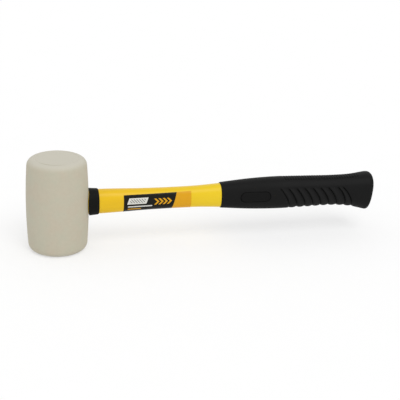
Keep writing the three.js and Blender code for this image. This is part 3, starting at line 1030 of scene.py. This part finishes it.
def makePrintedFilm():
    look = stickerLook
    material, tree, shader, place = startMaterial("printed_film")
    uv = addNode(tree, "ShaderNodeUVMap", {"uv_map": "print"}).outputs["UV"]
    flat = addNode(tree, "ShaderNodeSeparateXYZ", {}, {0: uv}).outputs
    uneven = {"Vector": place, "Scale": perMetre(look["ink"]), "Detail": 2.0}
    ink = addNode(tree, "ShaderNodeTexNoise", {}, uneven).outputs["Fac"]
    known = {"u": flat["X"], "v": flat["Y"], "ink": ink}
    for name in ("panel", "hatched", "longRule", "shortRule"):
        addRows(tree, sums, known, barRows(name))
    addRows(tree, sums, known, [
        ("tinge", "MULTIPLY", "ink", look["amberShare"]),
        ("scuffs", "MULTIPLY", "ink", look["scuffShare"]),
        ("splitDrop", "MULTIPLY", "v", look["splitLean"]),
        ("splitAcross", "ADD", "u", "splitDrop"),
        ("end", "GREATER_THAN", "splitAcross", look["split"]),
        ("hatchDrop", "MULTIPLY", "v", look["hatchLean"]),
        ("hatchAcross", "ADD", "u", "hatchDrop"),
        ("hatchPlace", "DIVIDE", "hatchAcross", look["hatchPitch"]),
        ("hatchPhase", "FRACT", "hatchPlace"),
        ("hatch", "LESS_THAN", "hatchPhase", look["hatchShare"]),
        ("hatching", "MULTIPLY", "hatch", "hatched"),
        ("offLine", "SUBTRACT", "v", look["chevronLine"]),
        ("fold", "ABSOLUTE", "offLine"),
        ("folded", "ADD", "u", "fold"),
        ("tip", "SUBTRACT", "folded", look["chevronStart"]),
        ("inRun", "COMPARE", "tip", look["chevronRun"] / 2, look["chevronRun"] / 2),
        ("inReach", "LESS_THAN", "fold", look["chevronReach"]),
        ("inRow", "MULTIPLY", "inRun", "inReach"),
        ("tipPlace", "DIVIDE", "tip", look["chevronPitch"]),
        ("tipPhase", "FRACT", "tipPlace"),
        ("stripe", "LESS_THAN", "tipPhase", look["chevronShare"]),
        ("chevrons", "MULTIPLY", "inRow", "stripe"),
    ])
    white = toLinear(look["white"])
    orange = layColours(tree, toLinear(look["orange"]), [(known["tinge"], toLinear(look["amber"]))])
    layers = [
        (known["scuffs"], toLinear(look["scuffed"])),
        (known["end"], orange),
        (known["panel"], white),
        (known["hatching"], toLinear(look["grey"])),
        (known["chevrons"], orange),
        (known["longRule"], white),
        (known["shortRule"], orange),
    ]
    wire(tree, shader, {
        "Base Color": layColours(tree, toLinear(look["black"]), layers),
        "Roughness": varyRoughness(tree, look, ink),
        "IOR": look["ior"],
        "Specular IOR Level": look["specular"],
    })
    return material


def makeSticker(material):
    s = stickerSizes
    xs = spread(s["start"], s["start"] + s["length"], s["stepsAlong"])
    points, prints = [], []
    for grow in (s["gap"] + s["thickness"], s["gap"]):
        for x in xs:
            top = s["topHead"] + (s["topGrip"] - s["topHead"]) * (x - s["start"]) / s["length"]
            angles = [math.radians(a) for a in spread(180 - top, 270 + s["under"], s["stepsRound"])]
            ring = ovalRing(x, angles, jacketAt(x), grow)
            run = 0.0
            for i, point in enumerate(ring):
                run += math.dist(point, ring[i - 1]) if i else 0.0
                points.append(point)
                prints.append((x - s["start"], run))
    wide, deep = len(angles), len(xs)
    base = wide * deep
    faces = []
    for r in range(deep - 1):
        for i in range(wide - 1):
            a, b, c, d = r * wide + i, r * wide + i + 1, (r + 1) * wide + i + 1, (r + 1) * wide + i
            faces.append((a, b, c, d))
            faces.append((base + d, base + c, base + b, base + a))
    rimLoop = list(range(wide)) + [r * wide + wide - 1 for r in range(1, deep)]
    rimLoop += [(deep - 1) * wide + i for i in reversed(range(wide - 1))]
    rimLoop += [r * wide for r in reversed(range(1, deep - 1))]
    for a, b in zip(rimLoop, rimLoop[1:] + rimLoop[:1]):
        faces.append((b, a, base + a, base + b))
    film = newPiece("shaft_sticker", points, faces, material)
    layer = film.data.uv_layers.new(name="print")
    for loop in film.data.loops:
        layer.data[loop.index].uv = prints[loop.vertex_index]
    return film


# Build every piece, tie it to the frame

pieces = [
    (makeHead(makeWhiteRubber()), "head", "white_rubber"),
    (makeJacket(makeYellowPolypropylene()), "handle_jacket", "yellow_polypropylene"),
    (makeCore(makeFibreglass()), "fibreglass_core", "fibreglass"),
    (makeEpoxy(makeEpoxyLook()), "eye_adhesive", "epoxy"),
    (makeCollar(makeCollarRubber()), "collar", "black_collar"),
    (makeGrip(makeGripRubber()), "grip", "black_grip"),
    (makeSticker(makePrintedFilm()), "label", "printed_film"),
]
for piece, node, slotName in pieces:
    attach(piece, "root")
    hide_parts(node)
    print("mallet:", piece.name, len(piece.data.polygons), "faces")


# Studio: white paper sweep, even white surround, one soft lamp above the near side

studio = {
    "paper": "#fdfdfd",
    "white": "#ffffff",
    "paperHalf": 8.0,  # metres from the middle to an edge
    "fibre": 40.0,
    "paperGlow": 0.5,  # share of the paper that is seen as plain white, so that the shadow stays faint
    "surround": 0.78,
    "lampLevel": 0.23,  # light it adds to a level surface
    "lampSpread": 36.0,  # degrees across, for soft shadows
    "lampTowards": (-0.14, 0.56, -0.82),  # from above and in front, a little from the right
}


def raySeen(tree):  # 1 for rays that show the backdrop: straight, mirrored or through glass
    path = addNode(tree, "ShaderNodeLightPath").outputs
    known = {name: path[name] for name in ("Is Camera Ray", "Is Glossy Ray", "Is Transmission Ray")}
    addRows(tree, sums, known, [
        ("turned", "MAXIMUM", "Is Glossy Ray", "Is Transmission Ray"),
        ("seen", "MAXIMUM", "Is Camera Ray", "turned"),
    ])
    return known["seen"]


def makePaper():
    material, tree, shader, place = startMaterial("white_paper_sweep")
    fibres = addNode(tree, "ShaderNodeTexNoise", {}, {"Vector": place, "Scale": perMetre(studio["fibre"])})
    layers = [(fibres.outputs["Fac"], toLinear(studio["white"]))]
    wire(tree, shader, {
        "Base Color": layColours(tree, toLinear(studio["paper"]), layers),
        "Roughness": 1.0,
        "Specular IOR Level": 0.0,
    })
    glow = addNode(tree, "ShaderNodeMath", {"operation": "MULTIPLY"},
                   {0: raySeen(tree), 1: studio["paperGlow"]})
    white = addNode(tree, "ShaderNodeEmission", {}, {"Color": toLinear(studio["white"]), "Strength": 1.0})
    paper = addNode(tree, "ShaderNodeMixShader", {},
                    {0: glow.outputs[0], 1: shader.outputs["BSDF"], 2: white.outputs["Emission"]})
    wire(tree, tree.nodes["Material Output"], {"Surface": paper.outputs["Shader"]})
    half = studio["paperHalf"]
    corners = [(-half, -half, 0), (half, -half, 0), (half, half, 0), (-half, half, 0)]
    mesh = bpy.data.meshes.new("paper_sweep")
    mesh.from_pydata(corners, [], [(0, 1, 2, 3)])
    mesh.materials.append(material)
    floor = bpy.data.objects.new("paper_sweep", mesh)
    bpy.context.scene.collection.objects.link(floor)


def makeSurround():
    world = bpy.data.worlds.new("white_surround")
    bpy.context.scene.world = world
    world.use_nodes = True
    tree = world.node_tree
    tree.nodes.clear()
    strength = addNode(tree, "ShaderNodeMapRange", {},
                       {"Value": raySeen(tree), "To Min": studio["surround"], "To Max": 1.0})
    sky = addNode(tree, "ShaderNodeBackground", {},
                  {"Color": toLinear(studio["white"]), "Strength": strength.outputs["Result"]})
    addNode(tree, "ShaderNodeOutputWorld", {}, {"Surface": sky.outputs["Background"]})


def makeLamp():
    aim = Vector(studio["lampTowards"]).normalized()
    lamp = bpy.data.lights.new("soft_lamp", "SUN")
    lamp.energy = studio["lampLevel"] * math.pi / -aim.z
    lamp.angle = math.radians(studio["lampSpread"])
    holder = bpy.data.objects.new("soft_lamp", lamp)
    holder.rotation_euler = aim.to_track_quat("-Z", "Y").to_euler()
    bpy.context.scene.collection.objects.link(holder)


# Camera: a metre away and a little above, the handle turned slightly away

cameraFit = {
    "azimuth": -13.993,
    "elevation": 21.154,
    "roll": -2.107,
    "distance": 1007.7,
    "pixelsPerMm": 1.039,  # at the head
    "right": 137.26,  # frame centre from the head's centre
    "up": 3.159,
    "frame": 400,
    "sensor": 36.0,
    "clipEnd": 100.0,  # metres
}


def makeCamera():
    c = cameraFit
    a, e, r = (math.radians(c[key]) for key in ("azimuth", "elevation", "roll"))
    level = Vector((math.cos(a), math.sin(a), 0))
    back = Vector((math.sin(a) * math.cos(e), -math.cos(a) * math.cos(e), math.sin(e)))
    upright = back.cross(level)
    right = level * math.cos(r) - upright * math.sin(r)
    up = level * math.sin(r) + upright * math.cos(r)
    spot = Vector((0, 0, handleSizes["axisHeight"])) + back * c["distance"]
    spot += right * c["right"] + up * c["up"]
    data = bpy.data.cameras.new("long_lens")
    data.sensor_width = c["sensor"]
    data.lens = c["pixelsPerMm"] * c["distance"] / c["frame"] * c["sensor"]
    data.clip_end = c["clipEnd"]
    camera = bpy.data.objects.new("long_lens", data)
    camera.matrix_world = Matrix.Translation(spot * mm) @ Matrix((right, up, back)).transposed().to_4x4()
    bpy.context.scene.collection.objects.link(camera)
    bpy.context.scene.camera = camera


makePaper()
makeSurround()
makeLamp()
makeCamera()
bpy.context.scene.view_settings.view_transform = "Standard"
print("mallet: studio and camera ready")
